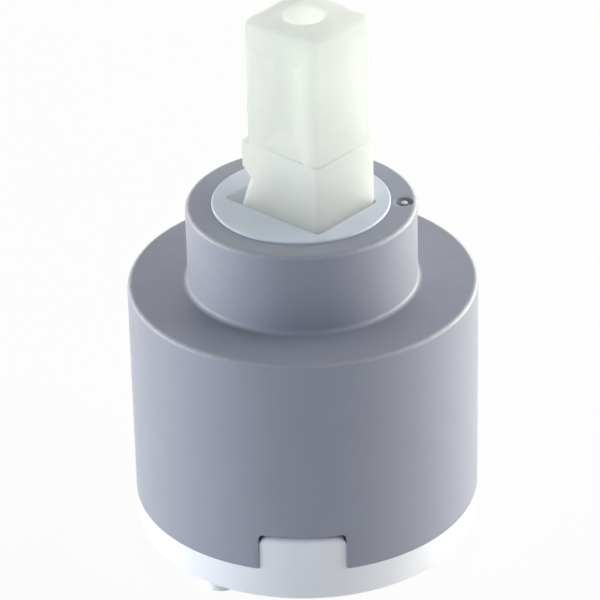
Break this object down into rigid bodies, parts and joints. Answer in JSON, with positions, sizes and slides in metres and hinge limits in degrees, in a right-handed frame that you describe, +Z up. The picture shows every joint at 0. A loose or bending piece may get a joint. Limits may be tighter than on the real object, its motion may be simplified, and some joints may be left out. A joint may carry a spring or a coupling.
{
  "type": "ceramic disc tap cartridge",
  "caption": "Single-lever ceramic disc mixer cartridge: round stepped housing, snap-in base with pegs and water ports, turning turret and a tilting square lever that slides a ceramic disc.",
  "frame": {"origin": "centre of the base's seat face, on the cartridge axis", "axes": "+Z up the cartridge axis towards the lever, -Y towards the front of the tap, +X to the cold side"},
  "size_m": [0.04, 0.04, 0.0672],
  "materials": {
    "housing": "satin moulded",
    "base": "satin moulded",
    "turret": "satin moulded",
    "lever": "milky natural nylon",
    "carrier": "moulded",
    "washer": "sheet",
    "ceramic": "lapped",
    "seal": "moulded",
    "pin": "ground"
  },
  "bodies": {
    "casing": {"housing": "housing", "base": "base", "thrust_washer": "washer", "fixed_disc": "ceramic", "hot_disc_seal": "seal", "cold_disc_seal": "seal", "outlet_disc_seal": "seal", "hot_base_seal": "seal", "cold_base_seal": "seal", "outlet_base_seal": "seal"},
    "turret": {"turret": "turret", "pivot_pin": "pin", "turret_o_ring": "seal"},
    "lever": {"lever": "lever"},
    "slider": {"disc_carrier": "carrier", "moving_disc": "ceramic", "carrier_seal": "seal"}
  },
  "joints": [
    {"name": "temperature_turn", "type": "hinge", "parent": "casing", "child": "turret", "pos_m": [0, 0, 0], "axis": [0, 0, 1], "range_deg": [-50, 50]},
    {"name": "flow_tilt", "type": "hinge", "parent": "turret", "child": "lever", "pos_m": [0, 0, 0.034], "axis": [-1, 0, 0], "range_deg": [0, 20]},
    {"name": "disc_slide", "type": "slide", "parent": "turret", "child": "slider", "axis": [0, -1, 0], "range_m": [0, 0.00505]}
  ],
  "couplings": [
    {"joint": "disc_slide", "follows": "flow_tilt", "m_per_rad": 0.014447}
  ]
}
